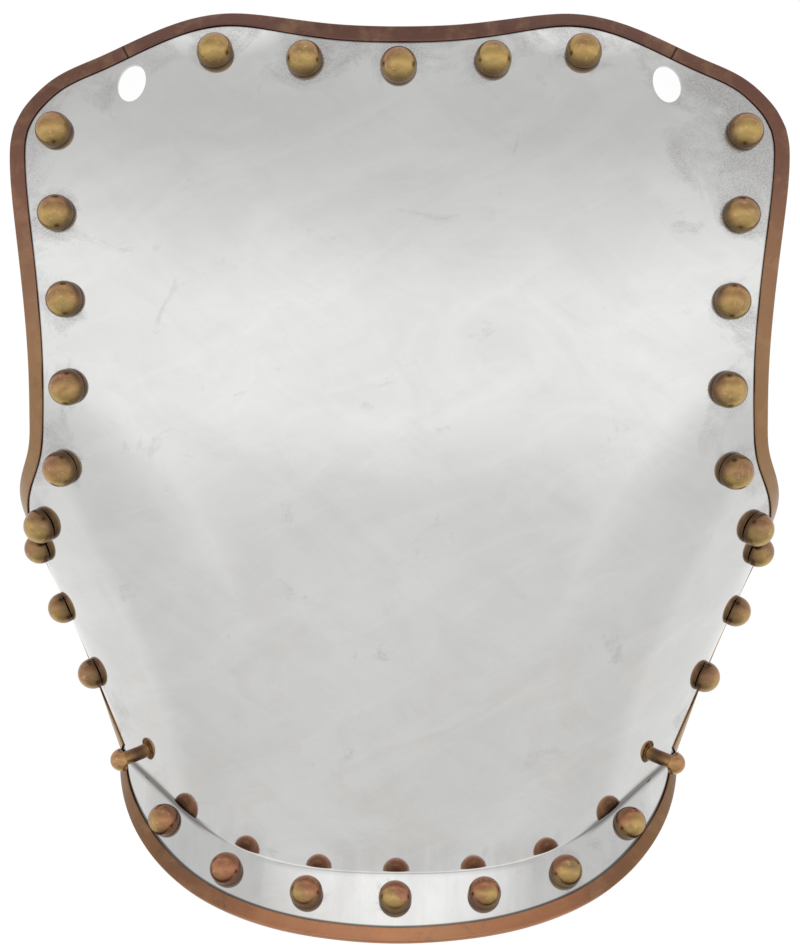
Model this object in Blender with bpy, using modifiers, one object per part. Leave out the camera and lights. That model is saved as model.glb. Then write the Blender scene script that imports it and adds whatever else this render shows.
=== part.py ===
"""Back plate of a mounted trooper's parade cuirass, lying on a table with its hollow side down.

A polished steel plate wraps the back from the neck to the waist. It wraps further round below the
armholes, creases at the waist and flares into a short skirt. A folded brass strip binds its edge
all round, a row of domed brass rivets follows the edge, two oval holes near the shoulders take the
shoulder straps, and a mushroom-headed post at each side of the waist takes the belt.

The shape is worked out standing in its own frame: X to the right as seen from behind, Y up the
back and Z out of the back, in metres. An empty then lays it down on the table.
"""

import math

import bmesh
import bpy
import numpy as np
from mathutils import Matrix, Vector

# Plate
BODY_HEIGHT = 0.3930  # neck edge to waist crease, along the spine's Y
HALF_WIDTH = 0.1800  # unit for the half widths in BODY_SECTIONS
WRAP_DEPTH = 0.1000  # unit for the depths in BODY_SECTIONS
SPINE_HOLLOW = 0.0450  # how far the small of the back lies under the shoulder blades
SHOULDER_ROLL = 0.0085  # how far the top of each shoulder rolls forward
SHOULDER_ROLL_REACH = 0.0800  # spine to where that roll is full
SHOULDER_ROLL_SHARE = 0.80  # of the height, where it begins
PLATE_THICKNESS = 0.0014

# Waist crease and skirt
WAIST_RISE = 0.0530  # how much higher the crease is at the sides than at the spine
SKIRT_WIDTH = 0.0345  # crease to edge, at the spine
SKIRT_FLARE = math.radians(40)  # away from straight down, at the spine
SKIRT_END_FLARE = math.radians(5)  # the same at the side edges
SKIRT_CORNER = 8  # higher is a squarer corner

# Height share, half width, depth, hollow of the spine: the body's ellipses, from waist to neck
BODY_SECTIONS = (
    (0.00, 0.725, 0.90, 1.00),
    (0.20, 0.829, 1.01, 0.50),
    (0.40, 1.010, 0.99, 0.18),
    (0.60, 1.125, 0.64, 0.02),
    (0.80, 1.243, 0.60, 0.06),
    (1.00, 1.385, 0.76, 0.32),
)

# Height share, degrees: how far round its ellipse the plate reaches, from waist to shoulder
SIDE_EDGE = (
    (0.00, 74.0),
    (0.12, 75.0),
    (0.17, 81.0),
    (0.23, 89.5),
    (0.30, 93.0),
    (0.365, 93.0),
    (0.417, 87.5),
    (0.456, 77.5),
    (0.496, 66.4),
    (0.536, 61.8),
    (0.585, 59.0),
    (0.675, 56.0),
    (0.764, 54.3),
    (0.853, 52.4),
    (0.875, 51.5),
    (0.892, 50.4),
)

# Share of the way from spine to side edge, height share: the neck and shoulder edge
NECK_EDGE = (
    (0.00, 1.0000),
    (0.14, 1.0055),
    (0.26, 1.0205),
    (0.36, 1.0295),
    (0.44, 1.0255),
    (0.56, 1.0043),
    (0.70, 0.9748),
    (0.84, 0.9492),
    (0.92, 0.9259),
    (0.96, 0.9113),
    (1.00, 0.8920),
)

# Share of the way from spine to side edge, share of WAIST_RISE: the waist crease
WAIST_LINE = (
    (0.00, 0.00),
    (0.20, 0.02),
    (0.40, 0.12),
    (0.60, 0.36),
    (0.80, 0.73),
    (1.00, 1.00),
)

# Crease share, share of SKIRT_WIDTH: how far the skirt reaches, before its corners are rounded
SKIRT_EDGE = (
    (0.00, 1.020),
    (0.15, 0.985),
    (0.30, 0.925),
    (0.45, 0.868),
    (0.60, 0.848),
    (0.72, 0.838),
    (0.84, 0.775),
    (0.92, 0.720),
    (1.00, 0.700),
)

# Binding: a strip folded over the edge
BINDING_THICKNESS = 0.0010
BINDING_WIDTH = 0.0062  # outer face, on the neck and sides
SKIRT_BINDING_WIDTH = 0.0056  # outer face, round the skirt
BINDING_INNER_WIDTH = 0.0055  # inner face
BINDING_GAP = 0.0007  # strip to plate
BINDING_JOINT = 0.0006  # each strip's end to the seam
SEAM_SHARE = 0.633  # neck edge share where the shoulder seam lies

# Rivets
RIVET_RADIUS = 0.0086  # domes of the neck and armholes
SMALL_RIVET_RADIUS = 0.0077  # domes below the armholes and on the skirt
RIVET_CENTRE_SHARE = 0.2  # of the dome's radius, how high its centre lies
RIVET_SHANK_RADIUS = 0.0020
RIVET_TAIL_RADIUS = 0.0038
RIVET_TAIL_HEIGHT = 0.0012
RIVET_GAP = 0.0003  # dome to plate
TAIL_GAP = 0.0010  # tail to the plate's hollow side, which curves up to meet it
HOLE_CLEARANCE = 0.0005  # shank to the side of its hole
NECK_RIVET_INSET = 0.0183  # plate edge to rivet, at the spine
NECK_RIVET_OUTER_INSET = 0.0228  # the same at the outermost neck rivets
ARMHOLE_RIVET_INSET = 0.0203
FLANK_RIVET_INSET = 0.0185
SKIRT_RIVET_FALL = 0.0142  # waist crease to rivet, at the spine
SKIRT_RIVET_CLEARANCE = 0.0035  # outermost skirt rivets' domes to the binding straight below them
NECK_RIVETS = 5
ARMHOLE_RIVETS = 6
FLANK_RIVETS = 3
SKIRT_RIVETS = 7
NECK_RIVET_SPAN = 0.403  # edge share of the outermost neck rivet
ARMHOLE_RIVET_SPAN = (0.4545, 0.8920)  # height shares of the lowest and highest armhole rivets
FLANK_RIVET_LOW = 0.2115  # height share of the lowest flank rivet
FLANK_RIVET_CLEARANCE = 0.0034  # highest flank dome to lowest armhole dome
SKIRT_RIVET_SPAN = 0.724  # crease share of the outermost skirt rivet

# Strap holes
STRAP_HOLE_WIDTH = 0.0137
STRAP_HOLE_HEIGHT = 0.0202
STRAP_HOLE_SHARE = 0.652  # neck edge share that the hole lies under
STRAP_HOLE_INSET = 0.0203  # plate edge to the hole's centre

# Belt posts
POST_SHARE = 0.87  # crease share that the post stands above
POST_RISE = 0.0075  # crease to the post's axis
POST_SHAFT_RADIUS = 0.0034
POST_SHAFT_LENGTH = 0.0085  # plate to the head's flat underside
POST_HEAD_RADIUS = 0.0056
POST_HEAD_HEIGHT = 0.0058
POST_TAIL_RADIUS = 0.0052
POST_TAIL_HEIGHT = 0.0015

# Fineness of the faceted solids
COLUMNS = 26
SKIRT_ROWS = 3
ROUND_STEPS = 10
HOLE_STEPS = 10
OVAL_STEPS = 20
DOME_RINGS = 3
FINE_STATIONS = 161  # along the lines that rivets are spaced out on

# Where the body's rows lie, as shares of the way up: closer where the side edge sweeps round
BODY_ROWS = (
    *(0.00, 0.05, 0.10, 0.15, 0.21, 0.27, 0.32),
    *(0.355, 0.38, 0.405, 0.43, 0.452, 0.474, 0.496, 0.52, 0.545, 0.575),
    *(0.61, 0.66, 0.71, 0.76, 0.81, 0.85, 0.885, 0.915, 0.945, 0.972, 1.00),
)

SMALL = 1e-5  # step for measuring slopes


def smooth_curve(points, column=1):
    """Natural cubic through (place, ..., value, ...) rows, straight beyond its ends."""
    place = np.array([row[0] for row in points], float)
    value = np.array([row[column] for row in points], float)
    gap = np.diff(place)
    slope = np.diff(value) / gap
    system = np.eye(len(place))
    bend = np.zeros(len(place))
    for i in range(1, len(place) - 1):
        system[i, i - 1 : i + 2] = gap[i - 1], 2 * (gap[i - 1] + gap[i]), gap[i]
        bend[i] = 6 * (slope[i] - slope[i - 1])
    bend = np.linalg.solve(system, bend)

    def curve(x):
        x_in = min(max(x, place[0]), place[-1])
        i = min(max(int(np.searchsorted(place, x_in)) - 1, 0), len(gap) - 1)
        a, b = place[i + 1] - x_in, x_in - place[i]
        h = gap[i]
        height = (bend[i] * a**3 + bend[i + 1] * b**3) / (6 * h)
        height += (value[i] / h - bend[i] * h / 6) * a + (value[i + 1] / h - bend[i + 1] * h / 6) * b
        tilt = (bend[i + 1] * b**2 - bend[i] * a**2) / (2 * h) + slope[i] - h * (bend[i + 1] - bend[i]) / 6
        return float(height + tilt * (x - x_in))

    return curve


def both_sides(points):
    """The same points on both sides of the spine, which the curve then crosses level."""
    return tuple((-share, value) for share, value in reversed(points[1:])) + points


section_width = smooth_curve(BODY_SECTIONS, 1)
section_depth = smooth_curve(BODY_SECTIONS, 2)
section_hollow = smooth_curve(BODY_SECTIONS, 3)
side_edge = smooth_curve(SIDE_EDGE)
neck_edge = smooth_curve(both_sides(NECK_EDGE))
waist_line = smooth_curve(both_sides(WAIST_LINE))
skirt_edge = smooth_curve(both_sides(SKIRT_EDGE))


def unit(vector):
    return vector / np.linalg.norm(vector)


def ease(share):
    """Rises from 0 to 1 with level, unbent ends."""
    share = min(max(share, 0.0), 1.0)
    return share**3 * (10 - 15 * share + 6 * share**2)


def wrap(height):
    """How far round its ellipse the plate reaches at this height, in radians."""
    return math.radians(side_edge(min(height / BODY_HEIGHT, SIDE_EDGE[-1][0])))


def neck_height(share):
    return neck_edge(abs(share)) * BODY_HEIGHT


def waist_height(share):
    return waist_line(abs(share)) * WAIST_RISE


def body_point(turn, height):
    """A point of the body's outer face: turn radians round the ellipse at a height over the waist."""
    level = height / BODY_HEIGHT
    depth = section_depth(level) * WRAP_DEPTH
    x = section_width(level) * HALF_WIDTH * math.sin(turn)
    z = -section_hollow(level) * SPINE_HOLLOW - depth * (1 - math.cos(turn))
    rolled = max(level - SHOULDER_ROLL_SHARE, 0.0) / (1 - SHOULDER_ROLL_SHARE)
    z -= SHOULDER_ROLL * rolled**3 * ease(abs(x) / SHOULDER_ROLL_REACH)
    return np.array((x, height, z))


def body_place(share, rise):
    """Turn and height of the point at a share of the way across and of the way up."""
    height = waist_height(share) + (neck_height(share) - waist_height(share)) * rise
    return share * wrap(height), height


def crease_point(share):
    return body_point(*body_place(share, 0.0))


def skirt_point(share, fall):
    """A point of the skirt's outer face, fall metres from the crease."""
    turn, height = body_place(share, 0.0)
    level = height / BODY_HEIGHT
    wide = section_width(level) * HALF_WIDTH
    deep = section_depth(level) * WRAP_DEPTH
    outward = unit(np.array((deep * math.sin(turn), 0.0, wide * math.cos(turn))))
    flare = SKIRT_END_FLARE + (SKIRT_FLARE - SKIRT_END_FLARE) * (1 - share**2)
    down = np.array((0.0, -1.0, 0.0))
    return body_point(turn, height) + fall * (down * math.cos(flare) + outward * math.sin(flare))


def skirt_width(share):
    return SKIRT_WIDTH * skirt_edge(abs(share)) * math.sqrt(max(1 - abs(share) ** SKIRT_CORNER, 0.0))


def slopes(surface, a, b):
    """The two directions in which a surface runs at (a, b), not of unit length."""
    here = surface(a, b)
    return (surface(a + SMALL, b) - here) / SMALL, (surface(a, b + SMALL) - here) / SMALL


def normal(surface, a, b):
    """Outward normal of the body's or the skirt's outer face."""
    across, along = slopes(surface, a, b)
    out = unit(np.cross(across, along))
    return -out if surface is skirt_point else out  # the skirt's second place runs downwards


def walk(surface, a, b, direction, distance, steps=6):
    """The (a, b) reached by following a surface for a distance in a direction."""
    for _ in range(steps):
        across, along = slopes(surface, a, b)
        plane = np.stack((across, along), axis=1)
        move = np.linalg.lstsq(plane, direction * distance / steps, rcond=None)[0]
        direction = unit(plane @ move)
        a, b = a + move[0], b + move[1]
    return a, b


class Edge:
    """A run of plate edge, as stations with the surface they lie on, anticlockwise from behind."""

    def __init__(self, surface, places):
        self.surface = surface
        self.places = places
        self.points = [surface(*place) for place in places]

    def frame(self, i):
        """Point, outward normal and the direction into the plate at a station."""
        before = self.points[max(i - 1, 0)]
        after = self.points[min(i + 1, len(self.points) - 1)]
        out = normal(self.surface, *self.places[i])
        inward = unit(np.cross(out, after - before))
        return self.points[i], out, inward

    def inset(self, i, distance):
        """Point and normal at a distance into the plate from a station."""
        inward = self.frame(i)[2]
        a, b = walk(self.surface, *self.places[i], inward, distance)
        if self.surface is skirt_point:
            b = max(b, BINDING_JOINT)  # no further in than the crease
        return self.surface(a, b), normal(self.surface, a, b)


def column_share(i, columns):
    """Column places run closer together towards the side edges."""
    return math.sin(math.pi / 2 * (2 * i / columns - 1))


def neck_places(first, last, columns=COLUMNS):
    """Neck edge stations between two shares, from right to left."""
    inner = [column_share(i, columns) for i in range(columns, -1, -1)]
    shares = [first] + [s for s in inner if last + 0.01 < s < first - 0.01] + [last]
    return [(s * wrap(neck_height(s)), neck_height(s)) for s in shares]


def side_places(side, rows=BODY_ROWS):
    """Side edge stations from the waist up, for side +1 or -1."""
    heights = [body_place(side, rise)[1] for rise in rows]
    heights[0] += BINDING_JOINT
    return [(side * wrap(height), height) for height in heights]


def skirt_places(columns=COLUMNS):
    """Skirt edge stations from left to right."""
    shares = [column_share(i, columns) for i in range(columns + 1)]
    places = [(share, skirt_width(share)) for share in shares]
    places[0] = (-1.0, BINDING_JOINT)
    places[-1] = (1.0, BINDING_JOINT)
    return places


def side_and_shoulder(side, rows=BODY_ROWS, columns=COLUMNS):
    """Edge of one side, from the waist to the shoulder seam on the right, or from it on the left."""
    tiny = BINDING_JOINT / HALF_WIDTH
    upper = neck_places(1.0, SEAM_SHARE + tiny, columns)[1:]
    places = side_places(1, rows) + upper
    if side > 0:
        return Edge(body_point, places)
    return Edge(body_point, [(-turn, height) for turn, height in reversed(places)])


def neck_edge_run(columns=COLUMNS):
    tiny = BINDING_JOINT / HALF_WIDTH
    return Edge(body_point, neck_places(SEAM_SHARE - tiny, tiny - SEAM_SHARE, columns))


def collection(name):
    made = bpy.data.collections.new(name)
    bpy.context.scene.collection.children.link(made)
    return made


def material(name, colour, roughness):
    made = bpy.data.materials.new(name)
    made.use_nodes = True
    shader = made.node_tree.nodes["Principled BSDF"]
    shader.inputs["Base Color"].default_value = (*colour, 1)
    shader.inputs["Metallic"].default_value = 1.0
    shader.inputs["Roughness"].default_value = roughness
    return made


def mesh_object(name, points, faces, group, look=None):
    mesh = bpy.data.meshes.new(name)
    mesh.from_pydata([tuple(p) for p in points], [], faces)
    mesh.update()
    return link(bpy.data.objects.new(name, mesh), group, look)


def link(made, group, look=None):
    group.objects.link(made)
    made.parent = resting
    if look:
        made.data.materials.clear()
        made.data.materials.append(look)
    return made


def shell(made, thickness, offset):
    thick = made.modifiers.new("thickness", "SOLIDIFY")
    thick.thickness = thickness
    thick.offset = offset
    thick.use_even_offset = True
    return made


def plate_points():
    """The plate's outer face, row by row from the skirt's edge to the neck."""
    rows = []
    shares = [column_share(i, COLUMNS) for i in range(COLUMNS + 1)]
    for j in range(SKIRT_ROWS):
        run = 1 - j / SKIRT_ROWS
        rows.append([skirt_point(share, skirt_width(share) * run) for share in shares])
    for rise in BODY_ROWS:
        rows.append([body_point(*body_place(share, rise)) for share in shares])
    return rows


def grid_faces(rows, columns):
    """Quads between rows of points, facing out of the back."""
    width = columns + 1
    return [
        (j * width + i, j * width + i + 1, (j + 1) * width + i + 1, (j + 1) * width + i)
        for j in range(rows)
        for i in range(columns)
    ]


def make_plate(group, look):
    rows = plate_points()
    points = [point for row in rows for point in row]
    plate = mesh_object("backplate", points, grid_faces(len(rows) - 1, COLUMNS), group, look)
    shape = bmesh.new()
    shape.from_mesh(plate.data)
    bmesh.ops.remove_doubles(shape, verts=shape.verts, dist=SMALL)  # the skirt narrows to a point
    shape.to_mesh(plate.data)
    shape.free()
    shell(plate, PLATE_THICKNESS, -1)
    holes = plate.modifiers.new("holes", "BOOLEAN")
    holes.operation = "DIFFERENCE"
    holes.operand_type = "COLLECTION"
    holes.collection = cutters
    plate.data.shade_smooth()
    return plate


def make_binding(name, edge, width, group, look):
    """A strip folded over the plate's edge, following a run of it."""
    gap = BINDING_GAP
    under = PLATE_THICKNESS + gap
    points = []
    for i in range(len(edge.places)):
        point, out, inward = edge.frame(i)
        outer, outer_normal = edge.inset(i, width)
        inner, inner_normal = edge.inset(i, BINDING_INNER_WIDTH)
        points += [
            outer + outer_normal * gap,
            point + out * gap,
            point - inward * gap,
            point - inward * gap - out * PLATE_THICKNESS,
            point - out * under,
            inner - inner_normal * under,
        ]
    strip = mesh_object(name, points, grid_faces(len(edge.places) - 1, 5), group, look)
    shell(strip, BINDING_THICKNESS, 1)
    strip.data.shade_smooth()
    return strip


def standing(surface, place):
    """Placement of something standing on the plate: Z along the normal, Y up the back."""
    out = Vector(normal(surface, *place))
    across = Vector((0, 1, 0)).cross(out).normalized()
    turn = Matrix((across, out.cross(across), out)).transposed().to_4x4()
    return Matrix.Translation(Vector(surface(*place))) @ turn


def profile_mesh(name, profile, look):
    """Outer profile of (radius, height) pairs, listed from top to bottom, for turned pieces."""
    mesh = bpy.data.meshes.new(name)
    edges = [(i, i + 1) for i in range(len(profile) - 1)]
    mesh.from_pydata([(radius, 0, height) for radius, height in profile], edges, [])
    mesh.materials.append(look)
    return mesh


def turned(name, mesh, place, group):
    made = link(bpy.data.objects.new(name, mesh), group)
    made.matrix_local = place
    screw = made.modifiers.new("turned", "SCREW")
    screw.steps = ROUND_STEPS
    screw.render_steps = ROUND_STEPS
    screw.use_merge_vertices = True
    screw.merge_threshold = SMALL
    screw.use_smooth_shade = True
    return made


def dome_profile(radius):
    """A ball cut a little below its middle."""
    base = math.acos(-RIVET_CENTRE_SHARE)
    angles = [base * i / DOME_RINGS for i in range(DOME_RINGS + 1)]
    return [
        (radius * math.sin(angle), RIVET_GAP + radius * (RIVET_CENTRE_SHARE + math.cos(angle)))
        for angle in angles
    ]


def tail_profile(shank, radius, height):
    """Shank through the plate and its spread tail on the hollow side."""
    top = -PLATE_THICKNESS - TAIL_GAP
    return [(shank, top), (radius, top), (radius * 0.7, top - height), (0, top - height)]


def rivet_profile(radius):
    profile = dome_profile(radius) + [(RIVET_SHANK_RADIUS, RIVET_GAP)]
    return profile + tail_profile(RIVET_SHANK_RADIUS, RIVET_TAIL_RADIUS, RIVET_TAIL_HEIGHT)


def post_profile():
    """Mushroom head with a flat underside, on a plain shaft."""
    head = [
        (POST_HEAD_RADIUS * math.sin(angle), POST_SHAFT_LENGTH + POST_HEAD_HEIGHT * math.cos(angle))
        for angle in (0, math.radians(30), math.radians(60), math.radians(90))
    ]
    shaft = [(POST_SHAFT_RADIUS, POST_SHAFT_LENGTH)]
    return head + shaft + tail_profile(POST_SHAFT_RADIUS, POST_TAIL_RADIUS, POST_TAIL_HEIGHT)


def hole_cutter(name, place, width, height, steps):
    """An upright cutter through the plate, round or oval."""
    shape = bmesh.new()
    deep = PLATE_THICKNESS * 6
    bmesh.ops.create_cone(shape, cap_ends=True, segments=steps, radius1=0.5, radius2=0.5, depth=deep)
    bmesh.ops.scale(shape, verts=shape.verts, vec=(width, height, 1))
    mesh = bpy.data.meshes.new(name)
    shape.to_mesh(mesh)
    shape.free()
    cutter = link(bpy.data.objects.new(name, mesh), cutters)
    cutter.matrix_local = place
    cutter.hide_render = True
    cutter.display_type = "WIRE"
    return cutter


def inset_line(edge, middle, end):
    """Places inside a run of edge, by a distance that changes from its middle to its ends."""
    line = []
    for i, place in enumerate(edge.places):
        share = 2 * i / (len(edge.places) - 1) - 1
        distance = middle + (end - middle) * share**2
        line.append(walk(edge.surface, *place, edge.frame(i)[2], distance))
    return line


def evenly_spaced(surface, line, count):
    """Places that share out the length of a line of places, with one at each end."""
    points = np.array([surface(*place) for place in line])
    reach = np.concatenate(([0.0], np.cumsum(np.linalg.norm(np.diff(points, axis=0), axis=1))))
    a, b = np.array(line).T
    spots = np.linspace(0, reach[-1], count)
    return [(float(np.interp(spot, reach, a)), float(np.interp(spot, reach, b))) for spot in spots]


def short_of(spot, distance, surface, line):
    """The start of a line of places, up to where it comes within a distance of a spot."""
    reach = [float(np.linalg.norm(surface(*place) - spot)) for place in line]
    near = next(i for i, far in enumerate(reach) if far < distance)
    share = (reach[near - 1] - distance) / (reach[near - 1] - reach[near])
    (a, b), (next_a, next_b) = line[near - 1], line[near]
    return line[:near] + [(a + (next_a - a) * share, b + (next_b - b) * share)]


def side_between(side, low, high):
    """Side edge stations between two height shares, for side +1 or -1, anticlockwise from behind."""
    heights = np.linspace(low, high, FINE_STATIONS)[::side] * BODY_HEIGHT
    return [(side * wrap(height), height) for height in heights]


def neck_between(first, last):
    shares = np.linspace(first, last, FINE_STATIONS)
    return [(share * wrap(neck_height(share)), neck_height(share)) for share in shares]


def rivet_places():
    """Name, surface, place and dome radius of every rivet."""
    rivets = []

    def add(name, surface, line, count, radius):
        places = evenly_spaced(surface, line, count)
        rivets.extend((f"{name}_{i:02d}", surface, place, radius) for i, place in enumerate(places, 1))

    neck = Edge(body_point, neck_between(NECK_RIVET_SPAN, -NECK_RIVET_SPAN))
    line = inset_line(neck, NECK_RIVET_INSET, NECK_RIVET_OUTER_INSET)
    add("neck_rivet", body_point, line, NECK_RIVETS, RIVET_RADIUS)
    for side, word in ((1, "right"), (-1, "left")):
        armhole = Edge(body_point, side_between(side, *ARMHOLE_RIVET_SPAN))
        line = inset_line(armhole, ARMHOLE_RIVET_INSET, ARMHOLE_RIVET_INSET)[::side]
        add(f"{word}_armhole_rivet", body_point, line, ARMHOLE_RIVETS, RIVET_RADIUS)
        lowest = body_point(*line[0])
        flank = Edge(body_point, side_between(side, FLANK_RIVET_LOW, ARMHOLE_RIVET_SPAN[0]))
        line = inset_line(flank, FLANK_RIVET_INSET, FLANK_RIVET_INSET)[::side]
        apart = RIVET_RADIUS + SMALL_RIVET_RADIUS + FLANK_RIVET_CLEARANCE
        line = short_of(lowest, apart, body_point, line)
        add(f"{word}_flank_rivet", body_point, line, FLANK_RIVETS, SMALL_RIVET_RADIUS)
    shares = np.linspace(-SKIRT_RIVET_SPAN, SKIRT_RIVET_SPAN, FINE_STATIONS)
    kept = SKIRT_BINDING_WIDTH + SMALL_RIVET_RADIUS + SKIRT_RIVET_CLEARANCE
    change = skirt_width(SKIRT_RIVET_SPAN) - kept - SKIRT_RIVET_FALL
    line = [(share, SKIRT_RIVET_FALL + change * (share / SKIRT_RIVET_SPAN) ** 2) for share in shares]
    add("skirt_rivet", skirt_point, line, SKIRT_RIVETS, SMALL_RIVET_RADIUS)
    return rivets


def post_places():
    return [
        (word, (side * POST_SHARE * wrap(waist_height(POST_SHARE)), waist_height(POST_SHARE) + POST_RISE))
        for side, word in ((1, "right"), (-1, "left"))
    ]


def strap_hole_places():
    places = []
    for side, word in ((1, "right"), (-1, "left")):
        edge = Edge(body_point, neck_between(side * STRAP_HOLE_SHARE + 0.02, side * STRAP_HOLE_SHARE - 0.02))
        middle = FINE_STATIONS // 2
        inward = edge.frame(middle)[2]
        places.append((word, walk(body_point, *edge.places[middle], inward, STRAP_HOLE_INSET)))
    return places


def world_points(pieces):
    """Corners of the finished pieces, as an array."""
    scene = bpy.context.evaluated_depsgraph_get()
    points = []
    for piece in pieces:
        shape = piece.evaluated_get(scene)
        mesh = shape.to_mesh()
        points += [tuple(shape.matrix_world @ vertex.co) for vertex in mesh.vertices]
        shape.to_mesh_clear()
    return np.array(points)


def resting_slope(points, balance):
    """Slope along Y of the highest plane under all the points, as measured where it balances."""

    def height(slope):
        return float(np.min(points[:, 2] - slope * (points[:, 1] - balance)))

    low, high = -2.0, 2.0
    for _ in range(80):
        third = (high - low) / 3
        if height(low + third) < height(high - third):
            low += third
        else:
            high -= third
    return (low + high) / 2


def lay_down(pieces):
    """Turns and moves the whole so that it rests on Z = 0, centred over the origin."""
    points = world_points(pieces)
    balance = float(np.mean([row[1] for rows in plate_points() for row in rows]))
    resting.rotation_euler.x = -math.atan(resting_slope(points, balance))
    bpy.context.view_layer.update()
    points = world_points(pieces)
    low, high = points.min(axis=0), points.max(axis=0)
    resting.location = (-(low[0] + high[0]) / 2, -(low[1] + high[1]) / 2, -low[2])
    bpy.context.view_layer.update()


for thing in list(bpy.data.objects):
    bpy.data.objects.remove(thing)
for mesh in list(bpy.data.meshes):
    bpy.data.meshes.remove(mesh)

body = collection("cuirass_backplate")
cutters = collection("cutters")
cutters.hide_render = True
resting = bpy.data.objects.new("resting", None)
body.objects.link(resting)

steel = material("polished_steel", (0.56, 0.56, 0.55), 0.18)
binding_brass = material("binding_brass", (0.55, 0.36, 0.22), 0.35)
rivet_brass = material("rivet_brass", (0.60, 0.42, 0.20), 0.30)
post_brass = material("post_brass", (0.52, 0.38, 0.22), 0.32)

domes = {
    RIVET_RADIUS: profile_mesh("rivet", rivet_profile(RIVET_RADIUS), rivet_brass),
    SMALL_RIVET_RADIUS: profile_mesh("small_rivet", rivet_profile(SMALL_RIVET_RADIUS), rivet_brass),
}
pieces = []
shank_hole = 2 * (RIVET_SHANK_RADIUS + HOLE_CLEARANCE)
for name, surface, place, radius in rivet_places():
    spot = standing(surface, place)
    pieces.append(turned(name, domes[radius], spot, body))
    hole_cutter(f"{name}_hole", spot, shank_hole, shank_hole, HOLE_STEPS)

post = profile_mesh("belt_post", post_profile(), post_brass)
shaft_hole = 2 * (POST_SHAFT_RADIUS + HOLE_CLEARANCE)
for word, place in post_places():
    spot = standing(body_point, place)
    pieces.append(turned(f"{word}_belt_post", post, spot, body))
    hole_cutter(f"{word}_post_hole", spot, shaft_hole, shaft_hole, HOLE_STEPS)

for word, place in strap_hole_places():
    spot = standing(body_point, place)
    hole_cutter(f"{word}_strap_hole", spot, STRAP_HOLE_WIDTH, STRAP_HOLE_HEIGHT, OVAL_STEPS)

pieces.append(make_plate(body, steel))
for name, edge, width in (
    ("neck_binding", neck_edge_run(), BINDING_WIDTH),
    ("right_side_binding", side_and_shoulder(1), BINDING_WIDTH),
    ("left_side_binding", side_and_shoulder(-1), BINDING_WIDTH),
    ("skirt_binding", Edge(skirt_point, skirt_places()), SKIRT_BINDING_WIDTH),
):
    pieces.append(make_binding(name, edge, width, body, binding_brass))
lay_down(pieces)
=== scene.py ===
"""Looks of a mounted trooper's cuirass backplate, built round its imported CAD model.

The plate, its bindings, rivets and posts are drawn again here as finer, smooth meshes of the same
shape and in the same place. Their shape is worked out standing (X right as seen from behind, Y up
the back, Z out of the back, in metres) and then laid down on the table.
"""

import math

import bmesh
import bpy
import numpy as np
from mathutils import Matrix, Vector
from mathutils.kdtree import KDTree


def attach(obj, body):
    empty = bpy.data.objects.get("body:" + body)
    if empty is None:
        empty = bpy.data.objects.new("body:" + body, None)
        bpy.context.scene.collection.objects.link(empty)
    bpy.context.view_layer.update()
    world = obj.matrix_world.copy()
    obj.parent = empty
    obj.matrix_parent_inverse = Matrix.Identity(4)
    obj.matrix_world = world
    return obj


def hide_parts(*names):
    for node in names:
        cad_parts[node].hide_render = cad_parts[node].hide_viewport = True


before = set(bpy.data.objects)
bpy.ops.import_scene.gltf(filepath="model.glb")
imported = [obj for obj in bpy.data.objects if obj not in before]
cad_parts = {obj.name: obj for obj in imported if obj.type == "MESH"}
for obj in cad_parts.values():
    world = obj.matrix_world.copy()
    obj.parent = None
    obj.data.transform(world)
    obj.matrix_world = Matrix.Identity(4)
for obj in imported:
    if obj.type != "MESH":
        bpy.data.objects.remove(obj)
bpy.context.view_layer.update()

# Where the standing shape lies on the table
RESTING_TURN = math.radians(-17.9049)
RESTING_PLACE = (0.0, -0.17048, 0.15837)

# Plate
BODY_HEIGHT = 0.3930
HALF_WIDTH = 0.1800
WRAP_DEPTH = 0.1000
SPINE_HOLLOW = 0.0450
SHOULDER_ROLL = 0.0085
SHOULDER_ROLL_REACH = 0.0800
SHOULDER_ROLL_SHARE = 0.80
PLATE_THICKNESS = 0.0014
WAIST_RISE = 0.0530
SKIRT_WIDTH = 0.0345
SKIRT_FLARE = math.radians(40)
SKIRT_END_FLARE = math.radians(5)
SKIRT_CORNER = 8
SKIRT_EDGE = (
    (0.00, 1.020),
    (0.15, 0.985),
    (0.30, 0.925),
    (0.45, 0.868),
    (0.60, 0.848),
    (0.72, 0.838),
    (0.84, 0.775),
    (0.92, 0.720),
    (1.00, 0.700),
)
BODY_SECTIONS = (
    (0.00, 0.725, 0.90, 1.00),
    (0.20, 0.829, 1.01, 0.50),
    (0.40, 1.010, 0.99, 0.18),
    (0.60, 1.125, 0.64, 0.02),
    (0.80, 1.243, 0.60, 0.06),
    (1.00, 1.385, 0.76, 0.32),
)
SIDE_EDGE = (
    (0.00, 74.0),
    (0.12, 75.0),
    (0.17, 81.0),
    (0.23, 89.5),
    (0.30, 93.0),
    (0.365, 93.0),
    (0.417, 87.5),
    (0.456, 77.5),
    (0.496, 66.4),
    (0.536, 61.8),
    (0.585, 59.0),
    (0.675, 56.0),
    (0.764, 54.3),
    (0.853, 52.4),
    (0.875, 51.5),
    (0.892, 50.4),
)
NECK_EDGE = (
    (0.00, 1.0000),
    (0.14, 1.0055),
    (0.26, 1.0205),
    (0.36, 1.0295),
    (0.44, 1.0255),
    (0.56, 1.0043),
    (0.70, 0.9748),
    (0.84, 0.9492),
    (0.92, 0.9259),
    (0.96, 0.9113),
    (1.00, 0.8920),
)
WAIST_LINE = (
    (0.00, 0.00),
    (0.20, 0.02),
    (0.40, 0.12),
    (0.60, 0.36),
    (0.80, 0.73),
    (1.00, 1.00),
)

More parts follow.
